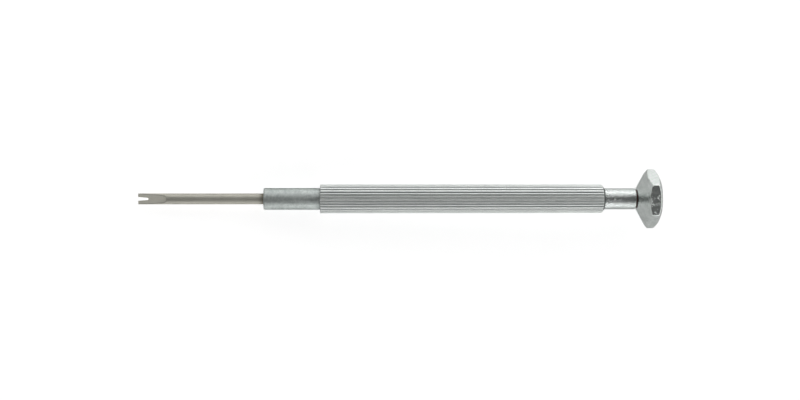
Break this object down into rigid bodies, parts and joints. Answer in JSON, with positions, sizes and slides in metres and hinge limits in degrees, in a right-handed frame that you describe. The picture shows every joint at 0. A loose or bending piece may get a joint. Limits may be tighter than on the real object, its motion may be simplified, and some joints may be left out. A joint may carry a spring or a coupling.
{
  "type": "watchmaker screwdriver",
  "caption": "Slim metal watchmaker's screwdriver: forked blade clamped in a ferrule, long fluted barrel and a hexagonal swivel head on a ball bearing.",
  "frame": {"origin": "on the tool's axis, halfway between the fork's tip and the head's rim", "axes": "+X along the tool from the fork to the head, +Z square to the two ground flats of the fork and to two flats of the hexagonal head, +Y across the corners of the head"},
  "size_m": [0.12, 0.0138, 0.012],
  "materials": {
    "blade_steel": "ground tool steel",
    "satin_nickel": "satin nickel plate",
    "fluted_nickel": "satin nickel plate on flutes",
    "bright_chrome": "polished",
    "bearing_steel": "lapped",
    "screw_steel": "dark hardened steel",
    "washer": "oiled fibre",
    "cage_brass": "turned"
  },
  "bodies": {
    "handle": {"ferrule": "satin_nickel", "barrel": "fluted_nickel", "neck": "bright_chrome", "pivot_pin": "bearing_steel", "dust_washer": "washer", "snap_ring": "screw_steel", "bearing_inner_ring": "bearing_steel"},
    "blade": {"blade": "blade_steel"},
    "front_screw": {"clamp_screw_front": "screw_steel"},
    "rear_screw": {"clamp_screw_rear": "screw_steel"},
    "swivel": {"head": "bright_chrome", "finger_pad": "bright_chrome", "bearing_outer_ring": "bearing_steel"},
    "ball_ring": {"bearing_cage": "cage_brass", "bearing_ball_1": "bearing_steel", "bearing_ball_2": "bearing_steel", "bearing_ball_3": "bearing_steel", "bearing_ball_4": "bearing_steel", "bearing_ball_5": "bearing_steel", "bearing_ball_6": "bearing_steel", "bearing_ball_7": "bearing_steel"}
  },
  "joints": [
    {"name": "head_swivel", "type": "hinge", "parent": "handle", "child": "swivel", "pos_m": [0.05655, 0, 0], "axis": [1, 0, 0], "continuous": true},
    {"name": "ball_ring_turn", "type": "hinge", "parent": "handle", "child": "ball_ring", "pos_m": [0.05655, 0, 0], "axis": [1, 0, 0], "continuous": true},
    {"name": "blade_pull", "type": "slide", "parent": "handle", "child": "blade", "axis": [-1, 0, 0], "range_m": [0, 0.0165]},
    {"name": "front_screw_turn", "type": "hinge", "parent": "handle", "child": "front_screw", "pos_m": [-0.028, 0, 0], "axis": [0, -0.866, -0.5], "range_deg": [0, 630]},
    {"name": "rear_screw_turn", "type": "hinge", "parent": "handle", "child": "rear_screw", "pos_m": [-0.023, 0, 0], "axis": [0, -0.866, -0.5], "range_deg": [0, 630]}
  ],
  "couplings": [
    {"joint": "ball_ring_turn", "follows": "head_swivel", "ratio": 0.6143}
  ]
}
